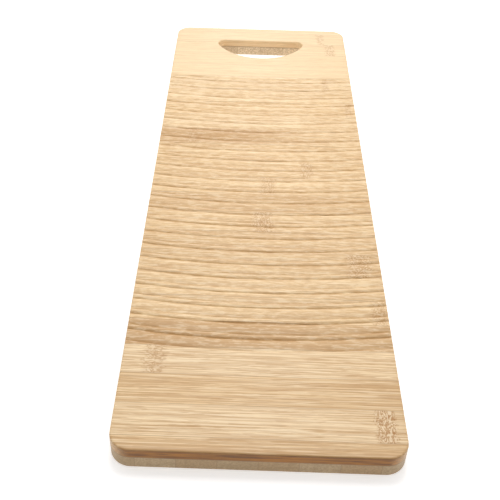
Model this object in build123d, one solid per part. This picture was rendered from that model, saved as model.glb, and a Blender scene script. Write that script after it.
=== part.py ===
"""A flat laminated bamboo washboard with a D-shaped hand hole and a field of curved ribs.

The frame: millimetres, origin at the middle of the underside, X across the board,
+Y towards the hand hole and +Z up. The board is two plies glued face to face. The top
ply's slats run across the board and carry the ribs, and the base ply's slats run along it.
"""

from build123d import *
import math
import os

# The board
LENGTH = 500.0
WIDTH = 160.0
THICKNESS = 15.0
TOP_PLY = 6.4
CORNER_RADIUS = 12.0
ARRIS_RADIUS = 1.0

# The slats: both plies use one strip, and the outermost slats are trimmed narrower.
SLAT_WIDTH = 21.9
FIRST_TOP_SLAT = 8.5

# The hand hole: a straight side towards the board's end and a round side towards the ribs
HOLE_WIDTH = 84.0
HOLE_DEPTH = 34.5
HOLE_END_MARGIN = 25.5
HOLE_CORNER_RADIUS = 6.5

# The ribs: narrow and broad humps in turn, with level crests just below the board's face.
# Each runs from side to side along the same arc, which bulges away from the hand hole.
RIB_NARROW = 4.25
RIB_BROAD = 9.28
RIB_DEPTH = 1.1
RIB_CREST_DROP = 0.05
RIB_PAIRS = 24
RIB_START = 97.1
RIB_ARC_RADIUS = 540.0

BASE_PLY = THICKNESS - TOP_PLY
HANDLE_END = LENGTH / 2
SIDE = WIDTH / 2
CLEARANCE = 5.0


def rib_shift(x):
    """How far a rib lies towards the hand hole at x, from its lowest point at x = 0."""
    return RIB_ARC_RADIUS - math.sqrt(RIB_ARC_RADIUS**2 - x**2)


def rib_section():
    """The space above the ribs seen from the side, with Y to the right and Z up."""
    crest = THICKNESS - RIB_CREST_DROP
    valley = THICKNESS - RIB_DEPTH
    ramp_top = THICKNESS + RIB_CREST_DROP
    start = HANDLE_END - RIB_START
    y = start - RIB_BROAD / 2
    line = Curve() + TangentArc((start, ramp_top), (y, valley), tangent=(-1, 0))
    for hump in [RIB_NARROW, RIB_BROAD] * RIB_PAIRS:
        line += ThreePointArc((y, valley), (y - hump / 2, crest), (y - hump, valley))
        y -= hump
    end = y - RIB_NARROW / 2
    line += TangentArc((end, ramp_top), (y, valley), tangent=(1, 0))
    above = THICKNESS + CLEARANCE
    line += Polyline((end, ramp_top), (end, above), (start, above), (start, ramp_top))
    return make_face(line)


def rib_cutter():
    """What the shaping of the ribs takes away: their section, moved along the arc unturned."""
    section = rib_section()
    reach = SIDE + CLEARANCE
    steps = 8
    stations = [reach * (2 * i / steps - 1) for i in range(steps + 1)]
    return loft([Plane.YZ.offset(x) * Pos(rib_shift(x), 0) * section for x in stations])


def hole_outline():
    """The hand hole from above: the segment of a disc with its two corners rounded."""
    straight_side = HANDLE_END - HOLE_END_MARGIN
    radius = ((HOLE_WIDTH / 2) ** 2 + HOLE_DEPTH**2) / (2 * HOLE_DEPTH)
    disc = Pos(0, straight_side - HOLE_DEPTH + radius) * Circle(radius)
    segment = disc & Pos(0, straight_side - HOLE_DEPTH / 2) * Rectangle(WIDTH, HOLE_DEPTH)
    corners = segment.vertices().group_by(Axis.Y)[-1]
    return fillet(corners, HOLE_CORNER_RADIUS)


def board_blank():
    """The board with its hand hole and rounded edges, before the ribs are cut."""
    outline = RectangleRounded(WIDTH, LENGTH, CORNER_RADIUS) - hole_outline()
    board = extrude(outline, THICKNESS)
    levels = board.edges().group_by(Axis.Z)
    return fillet([*levels[0], *levels[-1]], ARRIS_RADIUS)


def block(x0, x1, y0, y1, z0, z1):
    """A box between two corners."""
    return Pos(x0, y0, z0) * Box(x1 - x0, y1 - y0, z1 - z0, align=Align.MIN)


def top_slats(board):
    """Cuts the top ply across into slats, numbered from the hand hole's end."""
    ply = board & block(-SIDE, SIDE, -HANDLE_END, HANDLE_END, BASE_PLY, THICKNESS)
    ply -= rib_cutter()
    edge = HANDLE_END - FIRST_TOP_SLAT
    seams = [HANDLE_END]
    while edge > -HANDLE_END:
        seams.append(edge)
        edge -= SLAT_WIDTH
    seams.append(-HANDLE_END)
    for number, (high, low) in enumerate(zip(seams, seams[1:]), start=1):
        slat = ply & block(-SIDE, SIDE, low, high, BASE_PLY, THICKNESS)
        pieces = slat.solids().sort_by(Axis.X)
        endings = [""] if len(pieces) == 1 else ["_left", "_right"]
        for piece, ending in zip(pieces, endings):
            yield f"top_slat_{number:02d}{ending}", piece


def base_slats(board):
    """Cuts the base ply along into slats, numbered from the left side."""
    per_side = math.floor(SIDE / SLAT_WIDTH)
    seams = [-SIDE]
    seams += [i * SLAT_WIDTH for i in range(-per_side, per_side + 1)]
    seams.append(SIDE)
    for number, (left, right) in enumerate(zip(seams, seams[1:]), start=1):
        slat = board & block(left, right, -HANDLE_END, HANDLE_END, 0, BASE_PLY)
        pieces = slat.solids().sort_by(Axis.Y)
        endings = [""] if len(pieces) == 1 else ["", "_handle_end"]
        for piece, ending in zip(pieces, endings):
            yield f"base_slat_{number}{ending}", piece


def main():
    os.makedirs("parts", exist_ok=True)
    board = board_blank()
    for name, slat in [*top_slats(board), *base_slats(board)]:
        slat.label = name
        export_step(slat, f"parts/{name}.step")


main()
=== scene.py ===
"""The looks of a laminated bamboo washboard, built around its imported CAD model.

Every slat of the CAD model gets a detailed mesh of its own, in the same place and of the same
size, and a procedural bamboo material with its own tone and grain. Shape sizes are in
millimetres (turned into metres as each mesh is made), in the CAD frame: X across the board,
+Y towards the hand hole, +Z up, origin at the middle of the underside.
"""

import math

import bpy
import numpy as np
from mathutils import Matrix, Vector
from mathutils.geometry import delaunay_2d_cdt


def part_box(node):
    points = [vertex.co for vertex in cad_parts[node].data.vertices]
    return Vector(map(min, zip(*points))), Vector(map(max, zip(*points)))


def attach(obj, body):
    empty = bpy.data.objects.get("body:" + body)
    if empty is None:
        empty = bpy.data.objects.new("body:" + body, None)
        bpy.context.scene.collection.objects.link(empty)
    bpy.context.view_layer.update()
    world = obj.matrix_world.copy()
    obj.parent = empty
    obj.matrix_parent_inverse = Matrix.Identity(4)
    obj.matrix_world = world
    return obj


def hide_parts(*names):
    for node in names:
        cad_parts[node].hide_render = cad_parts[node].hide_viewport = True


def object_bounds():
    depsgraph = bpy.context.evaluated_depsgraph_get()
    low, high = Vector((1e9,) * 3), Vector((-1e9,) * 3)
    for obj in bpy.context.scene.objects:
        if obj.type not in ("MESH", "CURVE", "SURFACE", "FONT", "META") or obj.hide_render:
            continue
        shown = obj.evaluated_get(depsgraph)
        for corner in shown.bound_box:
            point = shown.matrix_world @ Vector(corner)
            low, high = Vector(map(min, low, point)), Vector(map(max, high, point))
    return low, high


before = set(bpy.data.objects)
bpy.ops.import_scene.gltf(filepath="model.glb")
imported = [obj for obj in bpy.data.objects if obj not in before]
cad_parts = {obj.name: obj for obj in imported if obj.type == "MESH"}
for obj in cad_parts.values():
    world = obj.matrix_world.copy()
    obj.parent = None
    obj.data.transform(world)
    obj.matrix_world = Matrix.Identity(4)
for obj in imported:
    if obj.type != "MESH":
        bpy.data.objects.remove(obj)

CAD_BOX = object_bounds()
MM = 0.001


# ---------------------------------------------------------------- sizes, in millimetres
def box_mm(node):
    """A CAD node's lowest and highest corners."""
    low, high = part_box(node)
    return [round(c / MM, 4) for c in low], [round(c / MM, 4) for c in high]


BOARD_HALF_WIDTH = CAD_BOX[1].x / MM
BOARD_END = CAD_BOX[1].y / MM
THICKNESS = CAD_BOX[1].z / MM
PLY_LINE = box_mm("top_slat_12")[0][2]
CORNER_RADIUS = 12.0
ARRIS_RADIUS = 1.0

HOLE_STRAIGHT_SIDE = box_mm("base_slat_4_handle_end")[0][1]
HOLE_WIDTH = 84.0
HOLE_DEPTH = 34.5
HOLE_CORNER_RADIUS = 6.5
HOLE_RADIUS = ((HOLE_WIDTH / 2) ** 2 + HOLE_DEPTH**2) / (2 * HOLE_DEPTH)
HOLE_CENTRE_Y = HOLE_STRAIGHT_SIDE - HOLE_DEPTH + HOLE_RADIUS

RIB_NARROW = 4.25
RIB_BROAD = 9.28
RIB_DEPTH = 1.1
RIB_CREST_DROP = 0.05
RIB_PAIRS = 24
RIB_START = BOARD_END - 97.1
RIB_END = RIB_START - RIB_BROAD / 2 - RIB_PAIRS * (RIB_NARROW + RIB_BROAD) - RIB_NARROW / 2
RIB_ARC_RADIUS = 540.0

# Where the bamboo's joints cross the top slats: the slat's number, X and half width, how bold,
# and the size of the strokes across X and Y
JOINT_MARKS = {
    2: (57, 4.0, 0.4, 3.0, 4.5), 3: (65, 5.0, 0.5, 3.0, 4.5), 6: (57, 3.0, 0.3, 3.0, 3.0),
    8: (74, 3.0, 0.4, 3.0, 3.0), 10: (-53, 6.0, 0.3, 3.0, 3.0), 12: (35, 5.0, 0.5, 2.4, 4.0),
    13: (6, 6.0, 0.4, 2.4, 4.0), 15: (2, 8.0, 0.65, 2.6, 4.5), 17: (66, 9.0, 0.6, 4.0, 2.6),
    19: (75, 5.0, 0.5, 4.0, 2.6), 21: (-61, 7.0, 0.6, 7.0, 2.6), 23: (69, 6.0, 1.0, 2.6, 5.5),
}
TORN_DEPTH = 0.12

# Unevenness of the cut ribs: the mean share of the drawn depth, and how far each kind of wave
# swings it, with the waves' lengths across and along the board
FINISH_MEAN = 0.9
LONG_WAVE = 0.18
LONG_WAVE_SIZE = (38, 5.2)
SHORT_WAVE = 0.34
SHORT_WAVE_SIZE = (7, 2.4)
FINISH_EXTRA_DEPTH = 0.12


# ---------------------------------------------------------------- shape
def outline_depth(x, y):
    """How far a point lies inside the board's outline."""
    qx = np.abs(x) - (BOARD_HALF_WIDTH - CORNER_RADIUS)
    qy = np.abs(y) - (BOARD_END - CORNER_RADIUS)
    outside = np.hypot(np.maximum(qx, 0), np.maximum(qy, 0)) + np.minimum(np.maximum(qx, qy), 0)
    return CORNER_RADIUS - outside


def hole_distance(x, y):
    """How far a point lies outside the hand hole."""
    core_radius = HOLE_RADIUS - HOLE_CORNER_RADIUS
    core_side = HOLE_STRAIGHT_SIDE - HOLE_CORNER_RADIUS - HOLE_CENTRE_Y
    dy = y - HOLE_CENTRE_Y
    reach = np.hypot(x, dy)
    scale = core_radius / np.maximum(reach, 1e-9)
    corner_x = math.sqrt(core_radius**2 - core_side**2)
    to_arc = np.where(dy * scale <= core_side, reach - core_radius, np.inf)
    to_corner = np.hypot(np.abs(x) - corner_x, dy - core_side)
    to_side = np.where(np.abs(x) <= corner_x, dy - core_side, -np.inf)
    outside_side = dy > core_side
    next_to_side = outside_side & (np.abs(x) <= corner_x)
    distance = np.where(next_to_side, to_side, np.minimum(to_arc, to_corner))
    inside = (reach <= core_radius) & (dy <= core_side)
    distance = np.where(inside, np.maximum(reach - core_radius, dy - core_side), distance)
    return distance - HOLE_CORNER_RADIUS


def round_drop(distance, radius):
    """How far a rounded edge has fallen at a distance from that edge."""
    rest = np.clip(radius - distance, 0, radius)
    return radius - np.sqrt(np.maximum(radius**2 - rest**2, 0))


def rib_shift(x):
    """How far a rib lies towards the hand hole at x, from its lowest point at x = 0."""
    return RIB_ARC_RADIUS - np.sqrt(RIB_ARC_RADIUS**2 - x**2)


def hump_spans():
    """The humps' (start, end) along the board's middle line, from the hand hole's side down."""
    spans = [(RIB_START + RIB_BROAD / 2, RIB_START - RIB_BROAD / 2)]
    for width in [RIB_NARROW, RIB_BROAD] * RIB_PAIRS + [RIB_NARROW]:
        start = spans[-1][1]
        spans.append((start, start - width))
    return spans


HUMPS = hump_spans()
VALLEYS = [end for start, end in HUMPS[:-1]]


def rib_drop(v):
    """How far the ribs fall below the board's face at v, measured along the middle line."""
    drop = np.zeros_like(v)
    for start, end in HUMPS:
        crest_drop = -RIB_CREST_DROP if (start, end) in (HUMPS[0], HUMPS[-1]) else RIB_CREST_DROP
        half, rise = (start - end) / 2, RIB_DEPTH - crest_drop
        radius = (half**2 + rise**2) / (2 * rise)
        offset = v - (start + end) / 2
        on_hump = (np.abs(offset) <= half) & (v <= RIB_START) & (v >= RIB_END)
        fall = crest_drop + radius - np.sqrt(np.maximum(radius**2 - offset**2, 0))
        drop = np.where(on_hump, np.maximum(fall, 0), drop)
    return drop


def lattice_noise(x, y, seed):
    """Smooth values from 0 to 1 that change over one unit, always the same for the same place."""
    column, row = np.floor(x), np.floor(y)
    u, v = x - column, y - row
    u, v = u * u * (3 - 2 * u), v * v * (3 - 2 * v)

    def corner(i, j):
        value = np.sin((column + i) * 127.1 + (row + j) * 311.7 + seed * 74.7) * 43758.5453
        return value - np.floor(value)

    low = corner(0, 0) * (1 - u) + corner(1, 0) * u
    high = corner(0, 1) * (1 - u) + corner(1, 1) * u
    return low * (1 - v) + high * v


def hand_finish(x, v):
    """Unevenness of the cut ribs: what the drawn depth is multiplied by."""
    long_waves = lattice_noise(x / LONG_WAVE_SIZE[0], v / LONG_WAVE_SIZE[1], 1)
    short_waves = lattice_noise(x / SHORT_WAVE_SIZE[0], v / SHORT_WAVE_SIZE[1], 2)
    return FINISH_MEAN + LONG_WAVE * (long_waves - 0.5) + SHORT_WAVE * (short_waves - 0.5)


def torn_grain(x, y):
    """How deep the surface is pitted where a joint of the bamboo crosses a slat."""
    pits = np.clip(lattice_noise(x / 2.4, y / 0.9, 3) - 0.5, 0, None)
    depth = np.zeros_like(x)
    for number, (middle, half, bold, _, _) in JOINT_MARKS.items():
        low, high = slat_span(number)
        near = np.clip(1.6 - np.abs(x - middle) / half, 0, 1) * ((y > low) & (y < high))
        depth = np.maximum(depth, near * bold * TORN_DEPTH * 2 * pits)
    return depth


def slat_span(number):
    """The lowest and highest Y of a top slat."""
    (_, low, _), (_, high, _) = box_mm(f"top_slat_{number:02d}" + ("_left" if number == 3 else ""))
    return low, high


def top_height(x, y):
    """The top face: level, but for the ribs, the rounded edges and small marks of the work."""
    v = y - rib_shift(x)
    ribs = np.minimum(rib_drop(v) * hand_finish(x, v), RIB_DEPTH + FINISH_EXTRA_DEPTH)
    drop = ribs + torn_grain(x, y)
    drop = np.maximum(drop, round_drop(outline_depth(x, y), ARRIS_RADIUS))
    drop = np.maximum(drop, round_drop(hole_distance(x, y), ARRIS_RADIUS))
    return THICKNESS - drop


def base_height(x, y):
    """The underside: level, but for the rounded edges."""
    return round_drop(np.minimum(outline_depth(x, y), hole_distance(x, y)), ARRIS_RADIUS)


# ---------------------------------------------------------------- outlines
def spread(low, high, step):
    """Evenly spaced values from low to high, at most a step apart."""
    return np.linspace(low, high, max(2, math.ceil((high - low) / step) + 1))


def arc_points(cx, cy, radius, start, end, step=0.6):
    """Points on an arc between two angles in degrees."""
    count = max(4, math.ceil(abs(math.radians(end - start)) * max(radius, 0.5) / step))
    angles = np.radians(np.linspace(start, end, count + 1))
    return [(cx + radius * math.cos(a), cy + radius * math.sin(a)) for a in angles]


def outline_ring(inset):
    """The board's outline moved inwards, as a closed list of points."""
    radius = CORNER_RADIUS - inset
    cx, cy = BOARD_HALF_WIDTH - CORNER_RADIUS, BOARD_END - CORNER_RADIUS
    ring = []
    for sx, sy, start in ((1, 1, 0), (-1, 1, 90), (-1, -1, 180), (1, -1, 270)):
        ring += arc_points(sx * cx, sy * cy, radius, start, start + 90)
    return ring


def hole_ring(outset):
    """The hand hole's outline moved outwards, as a closed list of points."""
    core_radius = HOLE_RADIUS - HOLE_CORNER_RADIUS
    core_side = HOLE_STRAIGHT_SIDE - HOLE_CORNER_RADIUS - HOLE_CENTRE_Y
    corner_x = math.sqrt(core_radius**2 - core_side**2)
    corner_y = HOLE_CENTRE_Y + core_side
    turn = math.degrees(math.asin(core_side / core_radius))
    radius = HOLE_CORNER_RADIUS + outset
    ring = arc_points(corner_x, corner_y, radius, turn, 90)
    ring += [(x, corner_y + radius) for x in spread(-corner_x, corner_x, 1.5)[::-1]]
    ring += arc_points(-corner_x, corner_y, radius, 90, 180 - turn)
    ring += arc_points(0, HOLE_CENTRE_Y, HOLE_RADIUS + outset, 180 - turn, 360 + turn)
    return ring


# ---------------------------------------------------------------- slat meshes
COLUMN_STEP = 1.6
FLAT_ROW_STEP = 1.6
NARROW_STEPS = 12
BROAD_STEPS = 18
ROUND_STEPS = [0.0, 0.02, 0.08, 0.18, 0.32, 0.5, 0.72, 1.0]
SAME = 1e-4
# How far single points keep from a ribbed slat's long edges, the outline and the hand hole
ROW_GAP = 0.12
OUTLINE_GAP = 0.05
HOLE_GAP = 0.3
WALL_LEVELS = [0.25, 0.5, 0.75, 1.0]
SHARP_ANGLE = math.radians(32)


def rib_rows(low, high):
    """Row positions along the middle line that follow the humps, with flat rows beyond them."""
    rows = []
    if low < RIB_END:
        rows += list(spread(low - FLAT_ROW_STEP, RIB_END, FLAT_ROW_STEP))
    if high > RIB_START:
        rows += list(spread(RIB_START, high + FLAT_ROW_STEP, FLAT_ROW_STEP))
    for start, end in HUMPS:
        steps = BROAD_STEPS if start - end > (RIB_NARROW + RIB_BROAD) / 2 else NARROW_STEPS
        rows += [v for v in np.linspace(start, end, steps + 1) if RIB_END <= v <= RIB_START]
    return sorted({round(v, 5) for v in rows if low <= v <= high})


class Grid:
    """Points and edges to be triangulated, in a plane where a cell of the mesh is a square."""

    def __init__(self, box, ribbed):
        (self.x0, self.y0, _), (self.x1, self.y1, _) = box
        self.ribbed = ribbed
        self.row_step = RIB_BROAD / BROAD_STEPS if ribbed else FLAT_ROW_STEP
        self.points, self.edges = [], []

    def flat(self, x, y):
        """Board coordinates to the plane of squares, in which ribs run straight."""
        shift = rib_shift(x) if self.ribbed else 0
        return x / COLUMN_STEP, (y - shift) / self.row_step

    def unflat(self, p, q):
        """The way back."""
        x = p * COLUMN_STEP
        shift = rib_shift(x) if self.ribbed else 0
        return x, q * self.row_step + shift

    def add(self, x, y):
        self.points.append(Vector(self.flat(x, y)))
        return len(self.points) - 1

    def line(self, points, closed=False):
        """Adds a constrained line, of which only the part near the slat's box is kept."""
        pairs = list(zip(points, points[1:] + points[:1] if closed else points[1:]))
        for a, b in pairs:
            if (min(a[0], b[0]) < self.x1 + 1 and max(a[0], b[0]) > self.x0 - 1
                    and min(a[1], b[1]) < self.y1 + 1 and max(a[1], b[1]) > self.y0 - 1):
                self.edges.append((self.add(*a), self.add(*b)))

    def triangles(self):
        """Triangulates, and keeps what lies in the slat's box, in the board and out of the hole."""
        verts, _, faces, *_ = delaunay_2d_cdt(self.points, self.edges, [], 0, 1e-5)
        pq = np.array([tuple(v) for v in verts])
        x, y = self.unflat(pq[:, 0], pq[:, 1])
        tri = np.array(faces)
        cx, cy = x[tri].mean(1), y[tri].mean(1)
        keep = (cx > self.x0) & (cx < self.x1) & (cy > self.y0) & (cy < self.y1)
        keep &= (outline_depth(cx, cy) > 0) & (hole_distance(cx, cy) > 0)
        for along, limit in ((x, self.x0), (x, self.x1), (y, self.y0), (y, self.y1)):
            keep &= ~(np.abs(along[tri] - limit) < SAME * 10).all(1)
        tri = tri[keep]
        used, tri = np.unique(tri, return_inverse=True)
        return x[used], y[used], tri.reshape(-1, 3)


def slat_columns(grid):
    """Where the mesh's columns run: close together at the rounded sides, even between them."""
    side_columns = [BOARD_HALF_WIDTH - s * ARRIS_RADIUS for s in ROUND_STEPS]
    even = spread(-BOARD_HALF_WIDTH + ARRIS_RADIUS, BOARD_HALF_WIDTH - ARRIS_RADIUS, COLUMN_STEP)
    columns = [*(-c for c in side_columns), *even, *side_columns]
    columns = [c for c in columns if grid.x0 - SAME < c < grid.x1 + SAME]
    return sorted({round(c, 5) for c in [*columns, grid.x0, grid.x1]})


def slat_rows(grid, x):
    """Where the mesh's rows run at x: along the ribs, or even on a flat slat."""
    if not grid.ribbed:
        return spread(grid.y0, grid.y1, FLAT_ROW_STEP)
    shift = rib_shift(x)
    return [v + shift for v in rib_rows(grid.y0 - shift + ROW_GAP, grid.y1 - shift - ROW_GAP)]


def slat_grid(box, ribbed):
    """The triangulated plan of one slat."""
    grid = Grid(box, ribbed)
    columns = slat_columns(grid)
    for x in columns:
        for y in slat_rows(grid, x):
            if outline_depth(x, y) > OUTLINE_GAP and hole_distance(x, y) > HOLE_GAP:
                grid.add(x, y)
    for y in (grid.y0, grid.y1):
        grid.line([(x, y) for x in columns])
    for x in (grid.x0, grid.x1):
        grid.line([(x, y) for y in spread(grid.y0, grid.y1, FLAT_ROW_STEP)])
    for share in ROUND_STEPS:
        grid.line(outline_ring(share * ARRIS_RADIUS), closed=True)
        grid.line(hole_ring(share * ARRIS_RADIUS), closed=True)
    if ribbed:
        for v in VALLEYS:
            grid.line([(x, v + rib_shift(x)) for x in columns])
    return grid.triangles()


def boundary_edges(tri):
    """The directed edges that only one triangle has."""
    edges = np.concatenate([tri[:, [0, 1]], tri[:, [1, 2]], tri[:, [2, 0]]])
    key = {(a, b) for a, b in edges.tolist()}
    return [(a, b) for a, b in key if (b, a) not in key]


def turned_outwards(x, y, tri, on_top):
    """The triangles with their corners ordered so that they face up on top and down beneath."""
    dx1, dx2 = x[tri[:, 1]] - x[tri[:, 0]], x[tri[:, 2]] - x[tri[:, 0]]
    dy1, dy2 = y[tri[:, 1]] - y[tri[:, 0]], y[tri[:, 2]] - y[tri[:, 0]]
    area = dx1 * dy2 - dx2 * dy1
    return np.where((area > 0)[:, None] == on_top, tri, tri[:, ::-1])


def slat_mesh(name, box, on_top):
    """One slat as a closed mesh: its dressed face, its hidden back face and its walls."""
    reaches_ribs = box[0][1] < RIB_START + rib_shift(BOARD_HALF_WIDTH) and box[1][1] > RIB_END
    x, y, tri = slat_grid(box, on_top and reaches_ribs)
    face_z = top_height(x, y) if on_top else base_height(x, y)
    tri = turned_outwards(x, y, tri, on_top)
    rim = boundary_edges(tri)
    rim_points = sorted({i for edge in rim for i in edge})
    coords = [np.stack([x, y, face_z], 1)]
    level_index = {i: [i] for i in rim_points}
    rx, ry, rz = x[rim_points], y[rim_points], face_z[rim_points]
    for share in WALL_LEVELS:
        base = sum(len(c) for c in coords)
        coords.append(np.stack([rx, ry, rz + (PLY_LINE - rz) * share], 1))
        for k, i in enumerate(rim_points):
            level_index[i].append(base + k)
    faces = [tuple(t) for t in tri.tolist()]
    for a, b in rim:
        la, lb = level_index[a], level_index[b]
        for k in range(len(WALL_LEVELS)):
            faces.append((lb[k], la[k], la[k + 1], lb[k + 1]))
    back_of = {i: level_index[i][-1] for i in rim_points}
    faces += back_faces(x, y, rim, rim_points, back_of, on_top)
    mesh = bpy.data.meshes.new(name)
    mesh.from_pydata((np.concatenate(coords) * MM).tolist(), [], faces)
    mesh.validate()
    mesh.shade_smooth()
    mesh.set_sharp_from_angle(angle=SHARP_ANGLE)
    return mesh


def back_faces(x, y, rim, rim_points, back_of, on_top):
    """The flat hidden face, triangulated from the rim alone."""
    order = {i: k for k, i in enumerate(rim_points)}
    points = [Vector((x[i], y[i])) for i in rim_points]
    edges = [(order[a], order[b]) for a, b in rim]
    verts, _, faces, source, *_ = delaunay_2d_cdt(points, edges, [], 0, 1e-6)
    found = []
    for face in faces:
        cx = sum(verts[i].x for i in face) / 3
        cy = sum(verts[i].y for i in face) / 3
        a, b, c = (verts[i] for i in face)
        turn = (b - a).cross(c - a)
        if abs(turn) < 1e-7 or outline_depth(cx, cy) < 0 or hole_distance(cx, cy) < 0:
            continue
        ring = [back_of[rim_points[source[i][0]]] for i in face]
        found.append(tuple(ring if (turn > 0) != on_top else ring[::-1]))
    return found


def is_top(node):
    return node.startswith("top_slat")


def make_slat(node):
    """The detailed piece that stands for one CAD slat."""
    mesh = slat_mesh(node + "_bamboo", box_mm(node), is_top(node))
    piece = bpy.data.objects.new(node + "_bamboo", mesh)
    bpy.context.scene.collection.objects.link(piece)
    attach(piece, "root")
    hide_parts(node)
    return piece


# ---------------------------------------------------------------- bamboo
class Wiring:
    """Short ways to add and join a material's nodes.

    A value may be a number or another node's output.
    """

    def __init__(self, material):
        material.use_nodes = True
        self.tree = material.node_tree
        self.shader = self.tree.nodes["Principled BSDF"]

    def node(self, kind, values=(), **settings):
        made = self.tree.nodes.new(kind)
        for setting, value in settings.items():
            setattr(made, setting, value)
        for socket, value in dict(values).items():
            self.put(value, made.inputs[socket])
        return made

    def put(self, value, socket):
        if isinstance(value, bpy.types.NodeSocket):
            self.tree.links.new(value, socket)
        else:
            socket.default_value = value

    def math(self, operation, *values):
        return self.node("ShaderNodeMath", enumerate(values), operation=operation).outputs[0]

    def add(self, first, *others):
        for other in others:
            first = self.math("ADD", first, other)
        return first

    def times(self, first, *others):
        for other in others:
            first = self.math("MULTIPLY", first, other)
        return first

    def vector(self, x, y, z):
        return self.node("ShaderNodeCombineXYZ", {0: x, 1: y, 2: z}).outputs[0]

    def stretched(self, vector, x, y, z):
        """A vector measured in cells of the sizes given."""
        values = {0: vector, 1: (1 / x, 1 / y, 1 / z)}
        return self.node("ShaderNodeVectorMath", values, operation="MULTIPLY").outputs[0]

    def noise(self, vector, detail=2.0, roughness=0.5, distortion=0.0):
        values = {"Vector": vector, "Scale": 1.0, "Detail": detail}
        values.update({"Roughness": roughness, "Distortion": distortion})
        return self.node("ShaderNodeTexNoise", values).outputs["Fac"]

    def ramp(self, value, low, high, to_low=0.0, to_high=1.0):
        """Maps low..high to to_low..to_high smoothly, and holds it beyond. Low may be the larger."""
        values = {"Value": value, "From Min": low, "From Max": high, "To Min": to_low, "To Max": to_high}
        return self.node("ShaderNodeMapRange", values, interpolation_type="SMOOTHSTEP").outputs["Result"]

    def blend(self, share, a, b):
        """Mixes colour b into colour a."""
        made = self.node("ShaderNodeMix", data_type="RGBA", blend_type="MIX")
        self.put(share, made.inputs[0])
        self.put(a, made.inputs[6])
        self.put(b, made.inputs[7])
        return made.outputs[2]


# Each top slat's tone at its left and right ends: below 0 is browner, above 0 is paler.
# The far slats 1 to 5 are paler and creamier partly as painted sheen on the far end.
TOP_TONES_WITH_FAR_SHEEN = {
    1: (0.5, 0.4), 2: (0.4, 0.3), 3: (0.4, 0.3), 4: (0.4, 0.3), 5: (0.4, 0.3), 6: (0.4, 0.3), 7: (0.3, 0.1),
    8: (0.0, 0.0), 9: (0.4, 0.2), 10: (-1.3, 0.1), 11: (-0.1, -0.1), 12: (-0.2, -0.2), 13: (-0.1, -0.1),
    14: (-0.7, -0.5), 15: (-0.2, -0.1), 16: (-0.5, -0.4), 17: (-0.3, -0.2), 18: (0.1, 0.0), 19: (-0.1, -0.1),
    20: (-1.4, -1.0), 21: (0.7, 0.5), 22: (-0.3, -0.6), 23: (0.6, 0.5), 24: (-0.3, -0.5),
}
# Each base slat's tone, from the left. All are paler towards the hand hole's end by the same
# step, which is painted light: it makes the hand hole's walls brighter than the near end face.
BASE_TONES = {1: 0.0, 2: 0.2, 3: -0.4, 4: -0.1, 5: -0.3, 6: 0.2, 7: -0.5, 8: 0.1}
BASE_PAINTED_LIGHT_STEP = 1.6
BASE_SEED = 30
PALE = (0.85, 0.61, 0.335)
MIDDLE = (0.75, 0.515, 0.26)
BROWN = (0.45, 0.225, 0.065)
CREAM = (0.95, 0.78, 0.54)
SKIN = (0.37, 0.14, 0.01)
DARK_SKIN = (0.11, 0.038, 0.004)
GLUE = (0.26, 0.15, 0.07)
BASE_PALE = (0.465, 0.325, 0.175)
BASE_MIDDLE = (0.365, 0.25, 0.13)
BASE_BROWN = (0.30, 0.185, 0.085)
LEAN = 0.42

# Sizes of the bamboo's patterns along the grain, across it and upwards
SWAY_SIZE = (140, 14, 14)
LIFT_SIZE = (50, 12, 12)
BAND_SIZE = (210, 5.5, 6)
PALE_STREAK_SIZE = (60, 1.0, 1.2)
STRAND_CELL = 1.0
STRAND_PATCH_SIZE = (17, 1.3, 1.3)
FINE_SIZE = (8, 0.2, 0.2)
FIBRE_SIZE = (26, 1.2, 1.1)
CHIP_SIZE = (7, 1.6, 1.6)
RAGGED_SIZE = (9, 1.6, 2.0)
FLECK_HEIGHT = 3.4
TONE_SIDES = (-20, 75)
BUMP_DISTANCE = 0.00012
RIBBED_SLATS = range(6, 21)
SKIN_SLAT = 24


def colour(rgb):
    return (*rgb, 1.0)


def joint_mark(w, tone, relief, along, grain, mark):
    """Where a joint of the bamboo crosses the slat, its strands break up into flecks."""
    middle, half, bold, stroke_x, stroke_y = mark
    ragged = w.times(w.add(w.noise(w.stretched(grain, *RAGGED_SIZE), 2), -0.5), half * 1.8)
    off = w.math("ABSOLUTE", w.add(along, ragged, -middle))
    window = w.ramp(off, half * 1.1, half * 0.6)
    fleck = w.noise(w.stretched(grain, stroke_x, stroke_y, FLECK_HEIGHT), 2, 0.55, 1.4)
    rim = w.math("ABSOLUTE", w.add(fleck, -0.5))
    dark = w.times(window, w.ramp(rim, 0.055, 0.02), bold)
    light = w.times(window, w.ramp(rim, 0.06, 0.11), bold)
    tone = w.blend(w.times(window, bold, 0.4), tone, colour(BROWN))
    tone = w.blend(w.times(light, 0.5), tone, colour(CREAM))
    tone = w.blend(w.times(dark, 0.65), tone, colour(SKIN))
    return tone, w.add(relief, w.times(window, fleck, bold * 1.5))


def lean(rgb, amount):
    """A colour made browner (below 0) or paler (above 0)."""
    toward = CREAM if amount > 0 else BROWN
    return tuple(c + (t - c) * abs(amount) * LEAN for c, t in zip(rgb, toward))


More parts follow.
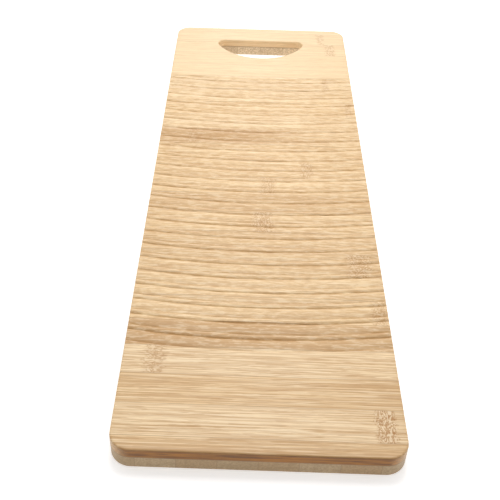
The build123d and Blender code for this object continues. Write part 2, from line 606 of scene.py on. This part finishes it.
def skin_tone(w, tone, along, across, up, grain, brown):
    """The culm's brown outer skin, which shows on the near end face and tints the top beside it."""
    below_face = w.ramp(up, THICKNESS - 0.1, THICKNESS - 0.8)
    fibre = w.ramp(w.noise(w.stretched(grain, *FIBRE_SIZE), 3, 0.65), 0.40, 0.62)
    rim = w.ramp(w.math("ABSOLUTE", w.add(up, 1.1 - THICKNESS)), 1.2, 0.3)
    darker = w.math("MAXIMUM", w.times(fibre, 0.8), w.times(rim, 0.6))
    skin = w.blend(darker, colour(SKIN), colour(DARK_SKIN))
    side = w.math("ABSOLUTE", along)
    corner = w.ramp(side, BOARD_HALF_WIDTH - 3, BOARD_HALF_WIDTH - CORNER_RADIUS, 0.35, 1.0)
    tone = w.blend(w.ramp(across, 6 - BOARD_END, -BOARD_END, 0.0, 0.45), tone, brown)
    return w.blend(w.times(below_face, corner), tone, skin)


def rib_chips_and_valley_shade(w, tone, up, grain, looks):
    """Short brown and cream chips where the ribs cut through the strands, and painted shade in the valleys.
    """
    chips = w.noise(w.stretched(grain, *CHIP_SIZE), 2, 0.6)
    brown = colour(looks["brown"])
    tone = w.blend(w.times(w.ramp(chips, 0.50, 0.60), 0.22), tone, brown)
    tone = w.blend(w.times(w.ramp(chips, 0.48, 0.40), 0.25), tone, colour(looks["cream"]))
    # Painted shade: below about 0.8 mm under the face, in the rib valleys and on the walls beneath them, the
    # colour is blended up to 40 % towards brown.
    return w.blend(w.ramp(up, THICKNESS - 0.8, THICKNESS - 1.05, 0.0, 0.4), tone, brown)


def glue_share(w, across, up, seams):
    """Where the thin glue lines show: between the plies and at the seams between slats."""
    glue = w.ramp(w.math("ABSOLUTE", w.add(up, -PLY_LINE)), 0.5, 0.12)
    for seam in seams:
        line = w.math("ABSOLUTE", w.add(across, -seam))
        glue = w.math("MAXIMUM", glue, w.ramp(line, 0.28, 0.05, 0.0, 0.7))
    return w.times(glue, 0.75)


def leaning_tone(w, side, rgb, tones_with_painted_light):
    """A colour that runs from one end's tone to the other's."""
    return w.blend(side, colour(lean(rgb, tones_with_painted_light[0])), colour(lean(rgb, tones_with_painted_light[1])))


def bamboo(name, along_x, seed, looks):
    """One slat's material.

    Tone bands carry pale and brown streaks, short dashes and fine strands along the grain. Over
    them come the brown skin, the ribs' chips with painted shade in their valleys, a joint mark and
    the glue lines, where they occur.
    """
    material = bpy.data.materials.new(name)
    w = Wiring(material)
    place = w.stretched(w.node("ShaderNodeTexCoord").outputs["Object"], MM, MM, MM)
    split = w.node("ShaderNodeSeparateXYZ", {0: place}).outputs
    along, across, up = (split[0], split[1], split[2]) if along_x else (split[1], split[0], split[2])
    own_along = w.add(along, seed * 61.0)
    own_across = w.add(across, seed * 23.0)
    own_up = w.add(up, seed * 7.0)
    own = w.vector(own_along, own_across, own_up)

    sway = w.times(w.add(w.noise(w.stretched(own, *SWAY_SIZE), 1), -0.5), 1.0)
    lift = w.times(w.add(w.noise(w.stretched(own, *LIFT_SIZE), 1), -0.5), 1.6)
    across_grain, up_grain = w.add(own_across, sway), w.add(own_up, lift)
    grain = w.vector(own_along, across_grain, up_grain)

    bands = w.ramp(w.noise(w.stretched(grain, *BAND_SIZE), 2), 0.27, 0.73)
    streak = w.ramp(w.noise(w.stretched(grain, *looks["streak_size"]), 1, 0.55), 0.47, 0.53)
    dash = w.ramp(w.noise(w.stretched(grain, *looks["dash_size"]), 1, 0.5), 0.58, 0.63)
    pale_streak = w.ramp(w.noise(w.stretched(grain, *PALE_STREAK_SIZE), 1, 0.6), 0.52, 0.58)
    strand_place = w.stretched(w.vector(across_grain, up_grain, 0.0), STRAND_CELL, STRAND_CELL, 1)
    cell_values = {"Vector": strand_place, "Scale": 1.0}
    strand_cells = w.node("ShaderNodeTexVoronoi", cell_values, voronoi_dimensions="2D")
    strand_here = w.ramp(w.noise(w.stretched(grain, *STRAND_PATCH_SIZE), 3, 0.6), 0.42, 0.58)
    strand = w.times(w.ramp(strand_cells.outputs["Distance"], 0.40, 0.14), strand_here)
    fine = w.noise(w.stretched(grain, *FINE_SIZE), 2, 0.6)

    brown = colour(looks["brown"])
    # The end tones carry painted light as well as tone: painted sheen on the far top slats, and a paler hand
    # hole end on the base slats.
    side = w.ramp(along, *TONE_SIDES)
    pale = leaning_tone(w, side, looks["pale"], looks["tones_with_painted_light"])
    middle = leaning_tone(w, side, looks["middle"], looks["tones_with_painted_light"])
    tone = w.blend(w.times(bands, 0.5), pale, middle)
    tone = w.blend(w.times(pale_streak, looks["creams"]), tone, colour(looks["cream"]))
    tone = w.blend(w.times(streak, looks["streaks"]), tone, brown)
    tone = w.blend(w.times(dash, looks["dashes"]), tone, brown)
    if looks["skin"]:
        tone = skin_tone(w, tone, along, across, up, grain, brown)
    tone = w.blend(w.times(strand, looks["strands"]), tone, brown)
    # Ribbed slats get the cut chips and the painted shade in their rib valleys.
    if looks["rib_chips_and_valley_shade"]:
        tone = rib_chips_and_valley_shade(w, tone, up, grain, looks)
    relief = w.add(w.times(strand, -0.6), w.times(fine, 0.5))
    if looks["mark"]:
        tone, relief = joint_mark(w, tone, relief, along, grain, looks["mark"])
    tone = w.blend(glue_share(w, across, up, looks["seams"]), tone, colour(GLUE))
    shade = w.add(w.times(fine, 0.4), 0.8)
    final = w.node("ShaderNodeVectorMath", {0: tone, 3: shade}, operation="SCALE").outputs[0]
    w.put(final, w.shader.inputs["Base Color"])
    w.put(w.add(w.times(fine, 0.16), w.times(strand, 0.06), 0.38), w.shader.inputs["Roughness"])
    bump_values = {"Strength": 0.6, "Distance": BUMP_DISTANCE, "Height": relief}
    w.put(w.node("ShaderNodeBump", bump_values).outputs[0], w.shader.inputs["Normal"])
    return material


def top_looks(number, seams):
    """What a top slat's material needs: the pattern is faint at the far end and full at the near."""
    ribbed = number in RIBBED_SLATS
    plain = 0.35 if number < RIBBED_SLATS[0] else 0.65 if ribbed else 1.0
    # The far slats' paler tones are partly painted sheen.
    tones_with_painted_light = TOP_TONES_WITH_FAR_SHEEN[number]
    return {
        "pale": PALE, "middle": MIDDLE, "brown": BROWN, "cream": CREAM, "tones_with_painted_light": tones_with_painted_light,
        "creams": 0.3 * plain, "streaks": (0.42 - 0.1 * min(tones_with_painted_light)) * plain,
        "dashes": 0.26 * plain, "strands": 0.6 * plain,
        "streak_size": (70, 0.95, 1.2), "dash_size": (16, 1.6, 1.6),
        "rib_chips_and_valley_shade": ribbed, "skin": number == SKIN_SLAT,
        "mark": JOINT_MARKS.get(number), "seams": seams,
    }


def base_looks(number, seams):
    """What a base slat's material needs."""
    tone = BASE_TONES[number]
    return {
        "pale": BASE_PALE, "middle": BASE_MIDDLE, "brown": BASE_BROWN, "cream": BASE_PALE,
        # The hand hole's end is paler by the step: painted light on the hole's walls.
        "tones_with_painted_light": (tone, tone + BASE_PAINTED_LIGHT_STEP),
        "creams": 0.4, "streaks": 0.35, "dashes": 0.2, "strands": 0.45,
        "streak_size": (80, 1.5, 1.0), "dash_size": (24, 1.9, 1.5),
        "rib_chips_and_valley_shade": False, "skin": False, "mark": None, "seams": seams,
    }


def slat_material(node):
    """The look of one slat, from its number."""
    (x0, y0, _), (x1, y1, _) = box_mm(node)
    number = int(node.split("_")[2])
    on_top = is_top(node)
    edges, limit = ((y0, y1), BOARD_END) if on_top else ((x0, x1), BOARD_HALF_WIDTH)
    seams = [edge for edge in edges if abs(abs(edge) - limit) > 1]
    if on_top:
        return bamboo(node, True, number, top_looks(number, seams))
    return bamboo(node, False, number + BASE_SEED, base_looks(number, seams))


for node in sorted(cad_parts):
    piece = make_slat(node)
    piece.data.materials.append(slat_material(node))


# ---------------------------------------------------------------- stage, light and camera
def make_floor():
    """A pale floor that glows a little, and is seen only from above."""
    size = 4.0
    corners = [(-size, -size, 0), (size, -size, 0), (size, size, 0), (-size, size, 0)]
    mesh = bpy.data.meshes.new("floor")
    mesh.from_pydata(corners, [], [(0, 1, 2, 3)])
    floor = bpy.data.objects.new("floor", mesh)
    bpy.context.scene.collection.objects.link(floor)
    material = bpy.data.materials.new("pale_floor")
    material.use_nodes = True
    tree = material.node_tree
    shader = tree.nodes["Principled BSDF"]
    shader.inputs["Base Color"].default_value = (0.93, 0.93, 0.93, 1)
    shader.inputs["Roughness"].default_value = 0.9
    shader.inputs["Specular IOR Level"].default_value = 0.1
    shader.inputs["Emission Color"].default_value = (1, 1, 1, 1)
    shader.inputs["Emission Strength"].default_value = 0.45
    below = tree.nodes.new("ShaderNodeBsdfTransparent")
    side = tree.nodes.new("ShaderNodeNewGeometry")
    mix = tree.nodes.new("ShaderNodeMixShader")
    tree.links.new(side.outputs["Backfacing"], mix.inputs[0])
    tree.links.new(shader.outputs[0], mix.inputs[1])
    tree.links.new(below.outputs[0], mix.inputs[2])
    tree.links.new(mix.outputs[0], tree.nodes["Material Output"].inputs["Surface"])
    floor.data.materials.append(material)


def area_light(name, place, target, size, power):
    """A square soft light that faces a target."""
    data = bpy.data.lights.new(name, "AREA")
    data.size = size
    data.energy = power
    light = bpy.data.objects.new(name, data)
    light.location = place
    light.rotation_mode = "QUATERNION"
    light.rotation_quaternion = (Vector(target) - Vector(place)).to_track_quat("-Z", "Y")
    bpy.context.scene.collection.objects.link(light)


def make_world(front, back):
    """White studio light from all around, dimmer from the near side than from behind."""
    world = bpy.data.worlds.new("studio")
    world.use_nodes = True
    tree = world.node_tree
    direction = tree.nodes.new("ShaderNodeTexCoord")
    split = tree.nodes.new("ShaderNodeSeparateXYZ")
    strength = tree.nodes.new("ShaderNodeMapRange")
    for socket, value in {"From Min": -0.7, "From Max": 0.8, "To Min": front, "To Max": back}.items():
        strength.inputs[socket].default_value = value
    background = tree.nodes["Background"]
    background.inputs["Color"].default_value = (1, 1, 1, 1)
    tree.links.new(direction.outputs["Generated"], split.inputs[0])
    tree.links.new(split.outputs["Y"], strength.inputs["Value"])
    tree.links.new(strength.outputs["Result"], background.inputs["Strength"])
    bpy.context.scene.world = world


def make_camera():
    """Close above the near end, looking down along the board, a touch left of its middle."""
    pitch, yaw, roll = math.radians(39.72), math.radians(-0.57), math.radians(-1.48)
    data = bpy.data.cameras.new("camera")
    data.sensor_width = 36.0
    data.lens = 60.49
    data.shift_x = 0.0326
    data.shift_y = -0.018
    camera = bpy.data.objects.new("camera", data)
    turn = Matrix.Rotation(-yaw, 4, "Z") @ Matrix.Rotation(math.pi / 2 - pitch, 4, "X")
    place = Matrix.Translation((-0.01335, -0.5169, 0.38111))
    camera.matrix_world = place @ (turn @ Matrix.Rotation(-roll, 4, "Z"))
    bpy.context.scene.collection.objects.link(camera)
    bpy.context.scene.camera = camera


make_floor()
make_world(0.39, 0.84)
area_light("key_light", (0.1, 0.6, 0.75), (0, 0.15, 0), 0.6, 1.0)
area_light("top_light", (0, 0.08, 0.62), (0, 0.11, 0), 0.3, 1.9)
area_light("back_light", (0, 1.1, 0.42), (0, 0.2, 0), 0.4, 1.4)
make_camera()
bpy.context.scene.view_settings.view_transform = "Standard"
